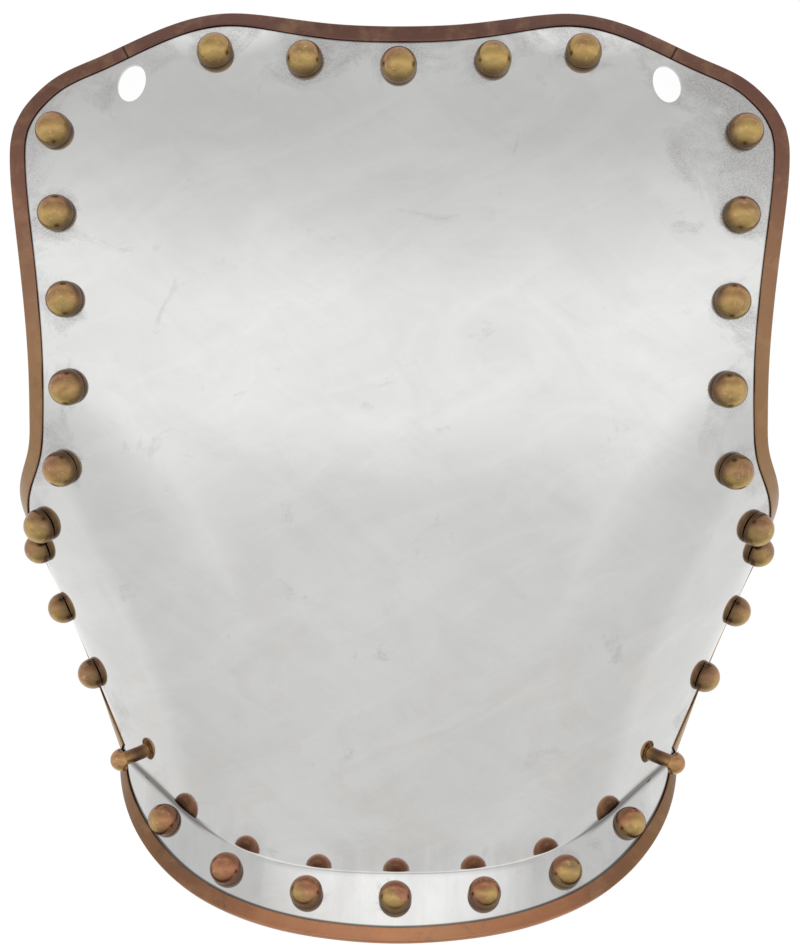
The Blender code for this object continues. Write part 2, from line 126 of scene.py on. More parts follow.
# Binding
BINDING_THICKNESS = 0.0010
BINDING_WIDTH = 0.0062
SKIRT_BINDING_WIDTH = 0.0056
BINDING_INNER_WIDTH = 0.0055
BINDING_GAP = 0.0007
BINDING_JOINT = 0.0006
STRIP_JOINT = 0.00003  # half the seam between two strips
STRIP_GAP = 0.0001  # strip to plate, over and under it
STRIP_THICKNESS = 0.0007
SEAM_SHARE = 0.633

# Rivets, holes and posts
RIVET_RADIUS = 0.0086
SMALL_RIVET_RADIUS = 0.0077
RIVET_CENTRE_SHARE = 0.2
RIVET_SHANK_RADIUS = 0.0020
RIVET_TAIL_RADIUS = 0.0038
RIVET_TAIL_HEIGHT = 0.0012
RIVET_GAP = 0.00006
TAIL_GAP = 0.0010
NECK_RIVET_INSET = 0.0183
NECK_RIVET_OUTER_INSET = 0.0228
ARMHOLE_RIVET_INSET = 0.0203
FLANK_RIVET_INSET = 0.0185
SKIRT_RIVET_FALL = 0.0142
SKIRT_RIVET_CLEARANCE = 0.0035
NECK_RIVET_SPAN = 0.403
ARMHOLE_RIVET_SPAN = (0.4545, 0.8920)
FLANK_RIVET_LOW = 0.2115
FLANK_RIVET_CLEARANCE = 0.0034
SKIRT_RIVET_SPAN = 0.724
STRAP_HOLE_WIDTH = 0.0137
STRAP_HOLE_HEIGHT = 0.0202
STRAP_HOLE_SHARE = 0.652
STRAP_HOLE_INSET = 0.0203
POST_SHARE = 0.87
POST_RISE = 0.0075
POST_SHAFT_RADIUS = 0.0034
POST_SHAFT_LENGTH = 0.0085
POST_HEAD_RADIUS = 0.0056
POST_HEAD_HEIGHT = 0.0058
POST_TAIL_RADIUS = 0.0052
POST_TAIL_HEIGHT = 0.0015

# The camera, seen from the standing shape: turned about Y, X and Z, then moved off its axis
CAMERA_TURNS = (-0.0137, -0.0611, -0.0050)
CAMERA_SHIFT = (-0.00118, 0.00376)
CAMERA_DISTANCE = 1.0
CAMERA_TARGET = (0.0, 0.19, -0.04)
CAMERA_LENS = 2117.2  # focal length in pixels of the image

IMAGE_WIDTH = 800
SENSOR_WIDTH = 36.0

FLOOR_GLOW = 0.94  # the floor is lit from beneath, so the strap holes show white
FLOOR_GREY = (0.10, 0.10, 0.10, 1)
FLOOR_REACH = 4.0
FLOOR_HEIGHT = -0.0005

SHOULDER_PATINA = (0.88, 0.955)  # shares across and up of a grey, pitted patch

# Fineness of the drawn meshes
PLATE_COLUMNS = 220
PLATE_ROWS = 186
SKIRT_ROWS = 14
CREASE_ROWS = 4
NECK_STATIONS = 260
SIDE_STATIONS = 320
SKIRT_STATIONS = 300
FINE_STATIONS = 161
EDGE_ACROSS = 400
EDGE_UP = 240
CREASE_STATIONS = 1201
LATHE_STEPS = 56
DOME_STEPS = 26
HEAD_STEPS = 14
HOLE_STEPS = 72
BEND_STEPS = 6
WALK_STEPS = 6
SHARP = 50  # degrees past which an edge isn't shaded smooth
SMALL = 1e-5
MERGE_DISTANCE = 2e-6

# Small rounds and reaches of the drawn meshes
CREASE_ROUND = 0.0009  # to each side of the waist crease
STRIP_ROUND = 0.0007
LIP_ROUND = 0.0003
HOLE_CUTTER_REACH = 0.006

# Painted shade in the waist crease, a dark band standing in for its dark reflection: where it starts
# and is full, by share out from the spine
CREASE_SHADE_STARTS = 0.38
CREASE_SHADE_FULL = 0.63
CREASE_SHADE_ENDS = 0.05
CREASE_SHADE_NARROW = 0.0004
CREASE_SHADE_WIDENS = 0.0016
CREASE_SHADE_WIDE_FROM = 0.45
CREASE_SHADE_WIDE_OVER = 0.4

# Tones of the steel
BRIGHT_STEEL = (0.665, 0.665, 0.66, 1)
GREY_STEEL = (0.605, 0.603, 0.595, 1)
WARM_SMEAR = (0.610, 0.590, 0.550, 1)
SKIRT_STREAK = (0.50, 0.50, 0.505, 1)
SMUDGE = (0.56, 0.553, 0.535, 1)
WIPE = (0.72, 0.72, 0.72, 1)
DULL_PATCH = (0.47, 0.465, 0.45, 1)
PITTED_PATCH = (0.29, 0.28, 0.265, 1)
# The next tone is painted shade, a dark band along the waist crease
CREASE_PAINTED_SHADE = (0.13, 0.12, 0.11, 1)
# The next tone is grime with painted shade, a thin dark line on the plate by the strips' inner edge
SEAM_GRIME_AND_SHADE = (0.035, 0.030, 0.026, 1)

# Tones of the brass: three for each kind of dome are golden, brown and red
RIVET_TONES = ((0.43, 0.295, 0.110), (0.275, 0.165, 0.088), (0.36, 0.15, 0.09))
POST_TONES = ((0.46, 0.28, 0.12), (0.34, 0.19, 0.09), (0.42, 0.20, 0.10))
# The foot tone is grime with painted shade, darkening each dome where it meets the plate
DOME_FOOT_GRIME_AND_SHADE = (0.115, 0.064, 0.040, 1)
DOME_SCRATCH = (0.72, 0.56, 0.30, 1)
DOME_PIT = (0.09, 0.06, 0.03, 1)
STRIP_WEAR = (0.46, 0.29, 0.16, 1)
STRIP_STAIN = (0.13, 0.075, 0.055, 1)
STRIP_PIT = (0.12, 0.08, 0.05, 1)
STRIP_SEAM = (0.035, 0.02, 0.015, 1)

# Tones of the strips by metres up the laid-down plate, and of the skirt's by metres from the spine
STRIP_TONES = (
    (-0.20, (0.330, 0.205, 0.090)),
    (-0.08, (0.320, 0.195, 0.088)),
    (0.06, (0.270, 0.152, 0.082)),
    (0.13, (0.195, 0.096, 0.068)),
    (0.21, (0.135, 0.070, 0.056)),
)
SKIRT_STRIP_TONES = (
    (0.00, (0.490, 0.232, 0.125)),
    (0.05, (0.385, 0.172, 0.090)),
    (0.10, (0.230, 0.112, 0.064)),
    (0.15, (0.185, 0.108, 0.052)),
)

# Grey levels of the studio by degrees up from the level of the back's middle, over and under the
# lower brink of the broad light, and by degrees round to the side
UPPER_STUDIO = (
    (-90, 0.80),
    (8, 0.81),
    (12, 0.765),
    (18, 0.68),
    (24, 0.62),
    (32, 0.55),
    (42, 0.53),
    (58, 0.55),
    (69, 0.88),
    (76, 1.00),
    (90, 1.00),
)
LOWER_STUDIO = (
    (-90, 0.30),
    (-60, 0.48),
    (-42, 0.61),
    (-28, 0.62),
    (-12, 0.64),
    (90, 0.64),
)
SIDE_STUDIO = (
    (0, 1.0),
    (40, 1.0),
    (72, 0.955),
    (83, 0.98),
    (93, 1.10),
    (180, 1.10),
)

STUDIO_STRENGTH = 1.5
BRINK = (-12.8, -3.2)  # degrees up at which the broad light begins and is full
BRINK_SINK = 0.0075  # fall of the brink per squared degree to the side
DEEPEST_SINK = 12.5


def smooth_curve(points, column=1):
    """Natural cubic through (place, ..., value, ...) rows, straight beyond its ends."""
    place = np.array([row[0] for row in points], float)
    value = np.array([row[column] for row in points], float)
    gap = np.diff(place)
    slope = np.diff(value) / gap
    system = np.eye(len(place))
    bend = np.zeros(len(place))
    for i in range(1, len(place) - 1):
        system[i, i - 1 : i + 2] = gap[i - 1], 2 * (gap[i - 1] + gap[i]), gap[i]
        bend[i] = 6 * (slope[i] - slope[i - 1])
    bend = np.linalg.solve(system, bend)

    def curve(x):
        x = np.asarray(x, float)
        x_in = np.clip(x, place[0], place[-1])
        i = np.clip(np.searchsorted(place, x_in) - 1, 0, len(gap) - 1)
        a, b = place[i + 1] - x_in, x_in - place[i]
        h = gap[i]
        height = (bend[i] * a**3 + bend[i + 1] * b**3) / (6 * h)
        height += (value[i] / h - bend[i] * h / 6) * a
        height += (value[i + 1] / h - bend[i + 1] * h / 6) * b
        tilt = (bend[i + 1] * b**2 - bend[i] * a**2) / (2 * h)
        tilt += slope[i] - h * (bend[i + 1] - bend[i]) / 6
        return height + tilt * (x - x_in)

    return curve


def both_sides(points):
    """A table of shares from the spine out, mirrored to the other side too."""
    return tuple((-share, value) for share, value in reversed(points[1:])) + points


section_width = smooth_curve(BODY_SECTIONS, 1)
section_depth = smooth_curve(BODY_SECTIONS, 2)
section_hollow = smooth_curve(BODY_SECTIONS, 3)
side_edge = smooth_curve(SIDE_EDGE)
neck_edge = smooth_curve(both_sides(NECK_EDGE))
waist_line = smooth_curve(both_sides(WAIST_LINE))
skirt_edge = smooth_curve(both_sides(SKIRT_EDGE))


def unit(vectors):
    return vectors / np.linalg.norm(vectors, axis=-1, keepdims=True)


def ease(share):
    """Smooth step from 0 to 1."""
    share = np.clip(share, 0.0, 1.0)
    return share**3 * (10 - 15 * share + 6 * share**2)


def wrap(height):
    """How far round, in radians, the side edges are at a height."""
    return np.radians(side_edge(np.minimum(np.asarray(height) / BODY_HEIGHT, SIDE_EDGE[-1][0])))


def neck_height(share):
    return neck_edge(np.abs(share)) * BODY_HEIGHT


def waist_height(share):
    return waist_line(np.abs(share)) * WAIST_RISE


def body_point(turn, height):
    """Outer face above the waist, by turn round the back and height."""
    turn, height = np.broadcast_arrays(np.asarray(turn, float), np.asarray(height, float))
    level = height / BODY_HEIGHT
    depth = section_depth(level) * WRAP_DEPTH
    x = section_width(level) * HALF_WIDTH * np.sin(turn)
    z = -section_hollow(level) * SPINE_HOLLOW - depth * (1 - np.cos(turn))
    rolled = np.maximum(level - SHOULDER_ROLL_SHARE, 0.0) / (1 - SHOULDER_ROLL_SHARE)
    z = z - SHOULDER_ROLL * rolled**3 * ease(np.abs(x) / SHOULDER_ROLL_REACH)
    return np.stack((x, height, z), axis=-1)


def body_place(share, rise):
    height = waist_height(share) + (neck_height(share) - waist_height(share)) * rise
    return share * wrap(height), height


def skirt_point(share, fall):
    """Outer face of the skirt, by share out from the spine and distance from the crease."""
    share, fall = np.broadcast_arrays(np.asarray(share, float), np.asarray(fall, float))
    turn, height = body_place(share, 0.0)
    level = height / BODY_HEIGHT
    wide = section_width(level) * HALF_WIDTH
    deep = section_depth(level) * WRAP_DEPTH
    outward = unit(np.stack((deep * np.sin(turn), 0.0 * turn, wide * np.cos(turn)), axis=-1))
    flare = SKIRT_END_FLARE + (SKIRT_FLARE - SKIRT_END_FLARE) * (1 - share**2)
    down = np.array((0.0, -1.0, 0.0))
    run = down * np.cos(flare)[..., None] + outward * np.sin(flare)[..., None]
    return body_point(turn, height) + fall[..., None] * run


def skirt_width(share):
    corner = np.sqrt(np.maximum(1 - np.abs(share) ** SKIRT_CORNER, 0.0))
    return SKIRT_WIDTH * skirt_edge(np.abs(share)) * corner


def slopes(surface, a, b):
    """Change of the place on a surface by each of its two coordinates."""
    here = surface(a, b)
    return (surface(a + SMALL, b) - here) / SMALL, (surface(a, b + SMALL) - here) / SMALL


def normal(surface, a, b):
    across, along = slopes(surface, a, b)
    out = unit(np.cross(across, along))
    return -out if surface is skirt_point else out


def walk(surface, a, b, direction, distance, steps=WALK_STEPS):
    """The places reached by following a surface for a distance from many places at once."""
    a, b, direction = np.array(a, float), np.array(b, float), np.array(direction, float)
    distance = np.broadcast_to(np.asarray(distance, float), a.shape)
    for _ in range(steps):
        across, along = slopes(surface, a, b)
        step = direction * (distance / steps)[..., None]
        aa, bb = (across * across).sum(-1), (along * along).sum(-1)
        ab = (across * along).sum(-1)
        sa, sb = (across * step).sum(-1), (along * step).sum(-1)
        full = aa * bb - ab * ab
        move_a = (sa * bb - sb * ab) / full
        move_b = (sb * aa - sa * ab) / full
        direction = unit(across * move_a[..., None] + along * move_b[..., None] + direction * 1e-12)
        a, b = a + move_a, b + move_b
    return a, b


class Edge:
    """A run of plate edge as stations, anticlockwise as seen from behind."""

    def __init__(self, surface, a, b):
        self.surface = surface
        self.a, self.b = np.array(a, float), np.array(b, float)
        self.points = surface(self.a, self.b)
        before = np.concatenate((self.points[:1], self.points[:-1]))
        after = np.concatenate((self.points[1:], self.points[-1:]))
        self.out = normal(surface, self.a, self.b)
        self.inward = unit(np.cross(self.out, after - before))

    def inset_places(self, distance):
        a, b = walk(self.surface, self.a, self.b, self.inward, distance)
        if self.surface is skirt_point:
            b = np.maximum(b, BINDING_JOINT)
        return a, b


def neck_run(first, last, count):
    shares = np.linspace(first, last, count)
    return shares * wrap(neck_height(shares)), neck_height(shares)


def side_and_shoulder(side, count):
    low = waist_height(1.0) + STRIP_JOINT
    heights = np.linspace(low, neck_height(1.0), count)
    turn, height = neck_run(1.0, SEAM_SHARE + STRIP_JOINT / HALF_WIDTH, count // 4)
    a = np.concatenate((wrap(heights), turn[1:]))
    b = np.concatenate((heights, height[1:]))
    if side < 0:
        a, b = -a[::-1], b[::-1]
    return Edge(body_point, a, b)


def skirt_run(count):
    shares = np.sin(np.pi / 2 * np.linspace(-1, 1, count))
    falls = skirt_width(shares)
    falls[0] = falls[-1] = BINDING_JOINT
    return Edge(skirt_point, shares, falls)


resting = Matrix.Translation(Vector(RESTING_PLACE)) @ Matrix.Rotation(RESTING_TURN, 4, "X")
resting_array = np.array(resting)


def laid_down(points):
    return points @ resting_array[:3, :3].T + resting_array[:3, 3]


def standing(surface, place):
    """Placement of something standing on the plate: Z along the normal, Y up the back."""
    out = Vector(normal(surface, *place))
    across = Vector((0, 1, 0)).cross(out).normalized()
    turn = Matrix((across, out.cross(across), out)).transposed().to_4x4()
    return resting @ Matrix.Translation(Vector(surface(*place))) @ turn


def finish_piece(name, mesh, look, nodes, place=None):
    piece = bpy.data.objects.new(name, mesh)
    bpy.context.scene.collection.objects.link(piece)
    if place is not None:
        piece.matrix_world = place
    if look.name not in mesh.materials:
        mesh.materials.append(look)
    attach(piece, "root")
    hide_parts(*nodes)
    return piece


def mesh_of(name, points, faces, sharp=40):
    mesh = bpy.data.meshes.new(name)
    mesh.from_pydata([tuple(p) for p in np.asarray(points).reshape(-1, 3)], [], faces)
    shape = bmesh.new()
    shape.from_mesh(mesh)
    bmesh.ops.remove_doubles(shape, verts=shape.verts, dist=MERGE_DISTANCE)
    shape.to_mesh(mesh)
    shape.free()
    mesh.shade_smooth()
    mesh.set_sharp_from_angle(angle=math.radians(sharp))
    return mesh


def grid_faces(rows, width, closed=False):
    """Quads between rows of points, each row of a given width."""
    faces = []
    for j in range(rows - 1):
        low, high = j * width, (j + 1) * width
        for i in range(width if closed else width - 1):
            after = (i + 1) % width
            faces.append((low + i, low + after, high + after, high + i))
    return faces


def plate_rows():
    """The outer face from the skirt's edge to the neck, with a small round at the crease."""
    share = np.sin(np.pi / 2 * np.linspace(-1, 1, PLATE_COLUMNS + 1))
    width = skirt_width(share)
    round_off = np.minimum(CREASE_ROUND, width * 0.45)
    steps = np.linspace(0, 1, SKIRT_ROWS + 1)
    made = [skirt_point(share, width + (round_off - width) * t) for t in steps]
    low = made[-1]
    crease = skirt_point(share, 0.0 * share)
    bottom = waist_height(share)
    top = neck_height(share)
    heights = bottom + round_off
    high = body_point(share * wrap(heights), heights)
    for t in np.linspace(0, 1, CREASE_ROWS + 2)[1:-1]:
        made.append(low * (1 - t) ** 2 + crease * 2 * t * (1 - t) + high * t**2)
    for t in np.linspace(0, 1, PLATE_ROWS + 1):
        height = heights + (top - heights) * t
        made.append(body_point(share * wrap(height), height))
    return np.stack(made)


def plate_mesh():
    rows = plate_rows()
    return mesh_of("plate_shape", laid_down(rows), grid_faces(rows.shape[0], rows.shape[1]), 60)


def oval_cutter(place):
    steps = HOLE_STEPS
    angles = np.linspace(0, 2 * np.pi, steps, endpoint=False)
    across = np.cos(angles) * STRAP_HOLE_WIDTH / 2
    along = np.sin(angles) * STRAP_HOLE_HEIGHT / 2
    ends = (-HOLE_CUTTER_REACH, HOLE_CUTTER_REACH)
    points = [(x, y, z) for z in ends for x, y in zip(across, along)]
    faces = [(i, (i + 1) % steps, steps + (i + 1) % steps, steps + i) for i in range(steps)]
    faces += [tuple(range(steps - 1, -1, -1)), tuple(range(steps, 2 * steps))]
    mesh = bpy.data.meshes.new("strap_hole_cutter")
    mesh.from_pydata(points, [], faces)
    cutter = bpy.data.objects.new("strap_hole_cutter", mesh)
    cutter.matrix_world = place
    return cutter


def strap_hole_places():
    """Places of the strap holes' centres, each straight in from the neck's edge."""
    places = []
    for side in (1, -1):
        turn, height = neck_run(side * STRAP_HOLE_SHARE + 0.02, side * STRAP_HOLE_SHARE - 0.02, 3)
        edge = Edge(body_point, turn, height)
        a, b = walk(body_point, edge.a[1], edge.b[1], edge.inward[1], STRAP_HOLE_INSET)
        places.append((float(a), float(b)))
    return places


def make_plate(look):
    mesh = plate_mesh()
    plate = finish_piece("plate", mesh, look, ["backplate"])
    thick = plate.modifiers.new("thickness", "SOLIDIFY")
    thick.thickness = PLATE_THICKNESS
    thick.offset = -1
    cutters = [oval_cutter(standing(body_point, place)) for place in strap_hole_places()]
    for cutter in cutters:
        bpy.context.scene.collection.objects.link(cutter)
        hole = plate.modifiers.new("strap_hole", "BOOLEAN")
        hole.operation = "DIFFERENCE"
        hole.solver = "EXACT"
        hole.object = cutter
    bpy.context.view_layer.update()
    shape = plate.evaluated_get(bpy.context.evaluated_depsgraph_get())
    finished = bpy.data.meshes.new_from_object(shape)
    plate.modifiers.clear()
    plate.data = finished
    for cutter in cutters:
        bpy.data.objects.remove(cutter)
    finished.set_sharp_from_angle(angle=math.radians(SHARP))
    rivets = [surface(*place) for _, surface, place, _ in rivet_places()]
    keep_distance(finished, "edge_distance", laid_down(edge_points()))
    keep_distance(finished, "rivet_distance", laid_down(np.array(rivets)))
    keep_crease_painted_shade(finished)


def edge_points():
    """Points all round the plate's outer edge."""
    share = np.linspace(-1, 1, EDGE_ACROSS)
    rise = np.linspace(0, 1, EDGE_UP)[:, None]
    runs = [skirt_point(share, skirt_width(share)), body_point(*body_place(share, 1.0))]
    for side in (-1.0, 1.0):
        runs.append(body_point(*body_place(np.full((EDGE_UP, 1), side), rise))[:, 0])
    return np.concatenate(runs)


def keep_crease_painted_shade(mesh):
    """Stores how much painted shade lies along the waist crease at each vertex: most near the side
    edges.
    """
    shares = np.linspace(-1, 1, CREASE_STATIONS)
    tree = KDTree(len(shares))
    for i, spot in enumerate(laid_down(body_point(*body_place(shares, 0.0)))):
        tree.insert(spot, i)
    tree.balance()
    shade_amounts = []
    for vertex in mesh.vertices:
        _, i, away = tree.find(vertex.co)
        outward = abs(shares[i])
        widening = ease((outward - CREASE_SHADE_WIDE_FROM) / CREASE_SHADE_WIDE_OVER)
        wide = CREASE_SHADE_NARROW + CREASE_SHADE_WIDENS * widening
        amount = ease((outward - CREASE_SHADE_STARTS) / (CREASE_SHADE_FULL - CREASE_SHADE_STARTS))
        amount *= ease((1.0 - outward) / CREASE_SHADE_ENDS)
        shade_amounts.append(float(amount * ease(1.5 - away / wide)))
    stored = mesh.attributes.new("crease_painted_shade", "FLOAT", "POINT")
    stored.data.foreach_set("value", shade_amounts)


def keep_distance(mesh, name, spots):
    """Stores how far each vertex is from the nearest spot, in metres."""
    tree = KDTree(len(spots))
    for i, spot in enumerate(spots):
        tree.insert(spot, i)
    tree.balance()
    stored = mesh.attributes.new(name, "FLOAT", "POINT")
    stored.data.foreach_set("value", [tree.find(vertex.co)[2] for vertex in mesh.vertices])


def binding_section(width):
    """Closed loop of (distance in from the edge, height over the plate's outer face)."""
    gap, thick = STRIP_GAP, STRIP_THICKNESS
    under = -PLATE_THICKNESS - gap
    top, bottom = gap + thick, under - thick
    centre = STRIP_ROUND - BINDING_GAP - BINDING_THICKNESS
    lip, chamfer = LIP_ROUND, LIP_ROUND / 3
    loop = [(width, gap), (width, top - lip), (width - chamfer, top - chamfer), (width - lip, top)]
    loop += [(width * t, top) for t in (0.8, 0.55, 0.3)]
    for start, level in ((0, top - STRIP_ROUND), (90, bottom + STRIP_ROUND)):
        for angle in np.radians(np.linspace(start, start + 90, BEND_STEPS)):
            reach, rise = STRIP_ROUND * math.sin(angle), STRIP_ROUND * math.cos(angle)
            loop.append((centre - reach, level + rise))
    inner = BINDING_INNER_WIDTH
    loop += [(inner * t, bottom) for t in (0.3, 0.6)]
    loop += [(inner - lip, bottom), (inner, bottom + lip), (inner, under)]
    loop += [(-gap, under), (-gap, gap)]
    return loop


def make_binding(name, edge, width, look, node):
    """Strip folded over a run of the plate's edge, closed at both ends."""
    section = binding_section(width)
    widths = {}
    for reach in sorted({s for s, _ in section if s > 0}):
        a, b = edge.inset_places(reach)
        widths[reach] = (edge.surface(a, b), normal(edge.surface, a, b))
    loops = []
    for reach, rise in section:
        if reach > 0:
            base, out = widths[reach]
        else:
            base, out = edge.points + edge.inward * reach, edge.out
        loops.append(base + out * rise)
    points = np.stack(loops, axis=1)
    rows, columns = points.shape[:2]
    faces = grid_faces(rows, columns, closed=True)
    faces.append(tuple(range(columns)))
    faces.append(tuple(range(rows * columns - 1, (rows - 1) * columns - 1, -1)))
    mesh = mesh_of(name + "_shape", laid_down(points), faces, SHARP)
    shape = bmesh.new()
    shape.from_mesh(mesh)
    bmesh.ops.recalc_face_normals(shape, faces=shape.faces)
    shape.to_mesh(mesh)
    shape.free()
    mesh.set_sharp_from_angle(angle=math.radians(SHARP))
    ends = np.concatenate((points[0], points[-1]))
    keep_distance(mesh, "end_distance", laid_down(ends))
    finish_piece(name, mesh, look, [node])


def lathe(name, profile):
    """Turned shape from an outer profile of (radius, height), top to bottom."""
    angles = np.linspace(0, 2 * np.pi, LATHE_STEPS, endpoint=False)
    points = [(r * math.cos(t), r * math.sin(t), h) for r, h in profile for t in angles]
    faces = [face[::-1] for face in grid_faces(len(profile), LATHE_STEPS, closed=True)]
    return mesh_of(name, points, faces, 35)


def tail_profile(shank, radius, height):
    """Flattened end on the hollow side, as shares of its radius and height."""
    top = -PLATE_THICKNESS - TAIL_GAP
    shares = ((1, 0), (0.97, 0.35), (0.86, 0.75), (0.7, 0.97), (0.4, 1), (0, 1))
    return [(shank, top)] + [(radius * wide, top - height * deep) for wide, deep in shares]


def rivet_profile(radius):
    centre = RIVET_GAP + radius * RIVET_CENTRE_SHARE
    angles = np.linspace(0, math.acos(-RIVET_CENTRE_SHARE), DOME_STEPS)
    dome = [(radius * math.sin(t), centre + radius * math.cos(t)) for t in angles]
    tail = tail_profile(RIVET_SHANK_RADIUS, RIVET_TAIL_RADIUS, RIVET_TAIL_HEIGHT)
    return dome + [(RIVET_SHANK_RADIUS, RIVET_GAP)] + tail


def post_profile():
    head, shaft, foot = POST_HEAD_RADIUS, POST_SHAFT_RADIUS, POST_SHAFT_LENGTH
    angles = np.radians(np.linspace(0, 84, HEAD_STEPS))
    profile = [(head * math.sin(t), foot + POST_HEAD_HEIGHT * math.cos(t)) for t in angles]
    profile += [(head, foot + 0.0003), (head - 0.0002, foot)]
    profile += [(shaft + 0.0004, foot), (shaft, foot - 0.0004)]
    return profile + tail_profile(shaft, POST_TAIL_RADIUS, POST_TAIL_HEIGHT)


def inset_line(edge, middle, end):
    """Places inside an edge, at one distance in its middle and another at both ends."""
    share = np.linspace(-1, 1, len(edge.a))
    return walk(edge.surface, edge.a, edge.b, edge.inward, middle + (end - middle) * share**2)


def evenly_spaced(surface, a, b, count):
    """A number of places at equal distances along a line of them."""
    points = surface(a, b)
    lengths = np.linalg.norm(np.diff(points, axis=0), axis=1)
    reach = np.concatenate(([0.0], np.cumsum(lengths)))
    spots = np.linspace(0, reach[-1], count)
    return [(float(np.interp(s, reach, a)), float(np.interp(s, reach, b))) for s in spots]


def side_line(side, low, high, inset):
    """Places inside one side edge, from the waist up."""
    heights = np.linspace(low, high, FINE_STATIONS)[::side] * BODY_HEIGHT
    a, b = inset_line(Edge(body_point, side * wrap(heights), heights), inset, inset)
    return a[::side], b[::side]


def short_of(spot, distance, a, b):
    """The start of a line of places, up to where it comes within a distance of a spot."""
    reach = np.linalg.norm(body_point(a, b) - spot, axis=1)
    near = int(np.argmax(reach < distance))
    share = (reach[near - 1] - distance) / (reach[near - 1] - reach[near])
    last = [line[near - 1] + (line[near] - line[near - 1]) * share for line in (a, b)]
    return np.append(a[:near], last[0]), np.append(b[:near], last[1])


def rivet_places():
    """Node name, surface, place and dome radius of every rivet."""
    rivets = []

    def add(name, surface, line, count, radius):
        for i, place in enumerate(evenly_spaced(surface, *line, count), 1):
            rivets.append((f"{name}_{i:02d}", surface, place, radius))

    neck = Edge(body_point, *neck_run(NECK_RIVET_SPAN, -NECK_RIVET_SPAN, FINE_STATIONS))
    line = inset_line(neck, NECK_RIVET_INSET, NECK_RIVET_OUTER_INSET)
    add("neck_rivet", body_point, line, 5, RIVET_RADIUS)
    for side, word in ((1, "right"), (-1, "left")):
        a, b = side_line(side, *ARMHOLE_RIVET_SPAN, ARMHOLE_RIVET_INSET)
        add(f"{word}_armhole_rivet", body_point, (a, b), 6, RIVET_RADIUS)
        lowest = body_point(a[0], b[0])
        a, b = side_line(side, FLANK_RIVET_LOW, ARMHOLE_RIVET_SPAN[0], FLANK_RIVET_INSET)
        apart = RIVET_RADIUS + SMALL_RIVET_RADIUS + FLANK_RIVET_CLEARANCE
        a, b = short_of(lowest, apart, a, b)
        add(f"{word}_flank_rivet", body_point, (a, b), 3, SMALL_RIVET_RADIUS)
    shares = np.linspace(-SKIRT_RIVET_SPAN, SKIRT_RIVET_SPAN, FINE_STATIONS)
    kept = SKIRT_BINDING_WIDTH + SMALL_RIVET_RADIUS + SKIRT_RIVET_CLEARANCE
    change = skirt_width(SKIRT_RIVET_SPAN) - kept - SKIRT_RIVET_FALL
    line = (shares, SKIRT_RIVET_FALL + change * (shares / SKIRT_RIVET_SPAN) ** 2)
    add("skirt_rivet", skirt_point, line, 7, SMALL_RIVET_RADIUS)
    return rivets


class Nodes:
    """Short ways to build a material's or the world's node tree."""

    def __init__(self, tree):
        self.tree = tree

    def add(self, kind, settings=None, **inputs):
        node = self.tree.nodes.new(kind)
        for name, value in (settings or {}).items():
            setattr(node, name, value)
        for name, value in inputs.items():
            key = int(name[1:]) if name[0] == "i" and name[1:].isdigit() else name.replace("_", " ")
            self.put(node.inputs[key], value)
        return node

    def put(self, socket, value):
        if hasattr(value, "outputs"):
            value = value.outputs[0]
        if hasattr(value, "is_output"):
            self.tree.links.new(value, socket)
        else:
            socket.default_value = value

    def maths(self, kind, a, b=0.0, c=0.0):
        return self.add("ShaderNodeMath", {"operation": kind}, i0=a, i1=b, i2=c)

    def noise(self, where, scale, detail=4.0, roughness=0.6, distortion=0.0):
        amounts = dict(Scale=scale, Detail=detail, Roughness=roughness, Distortion=distortion)
        return self.add("ShaderNodeTexNoise", Vector=where, **amounts)

    def span(self, value, low, high, to_low=0.0, to_high=1.0, kind="LINEAR"):
        """The value's way from low to high, as a way from one result to the other."""
        limits = dict(i1=low, i2=high, i3=to_low, i4=to_high)
        return self.add("ShaderNodeMapRange", {"interpolation_type": kind}, i0=value, **limits)

    def bump(self, height, distance, strength, under=None):
        inputs = dict(Height=height, Distance=distance, Strength=strength)
        if under is not None:
            inputs["Normal"] = under
        return self.add("ShaderNodeBump", None, **inputs)

    def stored(self, name):
        return self.add("ShaderNodeAttribute", {"attribute_name": name}).outputs["Fac"]

    def mix(self, factor, a, b, blend="MIX"):
        node = self.add("ShaderNodeMix", {"data_type": "RGBA", "blend_type": blend})
        self.put(node.inputs[0], factor)
        self.put(node.inputs[6], a)
        self.put(node.inputs[7], b)
        return node.outputs[2]


def new_material(name):
    made = bpy.data.materials.new(name)
    made.use_nodes = True
    nodes = Nodes(made.node_tree)
    return made, nodes, made.node_tree.nodes["Principled BSDF"]


def stretched(n, where, turn, stretch):
    """Coordinates turned about Z and squeezed, so that noise over them runs in streaks."""
    about = {"rotation_type": "Z_AXIS"}
    turned = n.add("ShaderNodeVectorRotate", about, Vector=where, Angle=math.radians(turn))
    return n.add("ShaderNodeVectorMath", {"operation": "MULTIPLY"}, i0=turned, i1=stretch)


def patina_spot():
    """The middle of the grey patch on the right shoulder, as the plate lies."""
    turn, height = body_place(*SHOULDER_PATINA)
    return tuple(laid_down(body_point(turn, height)))


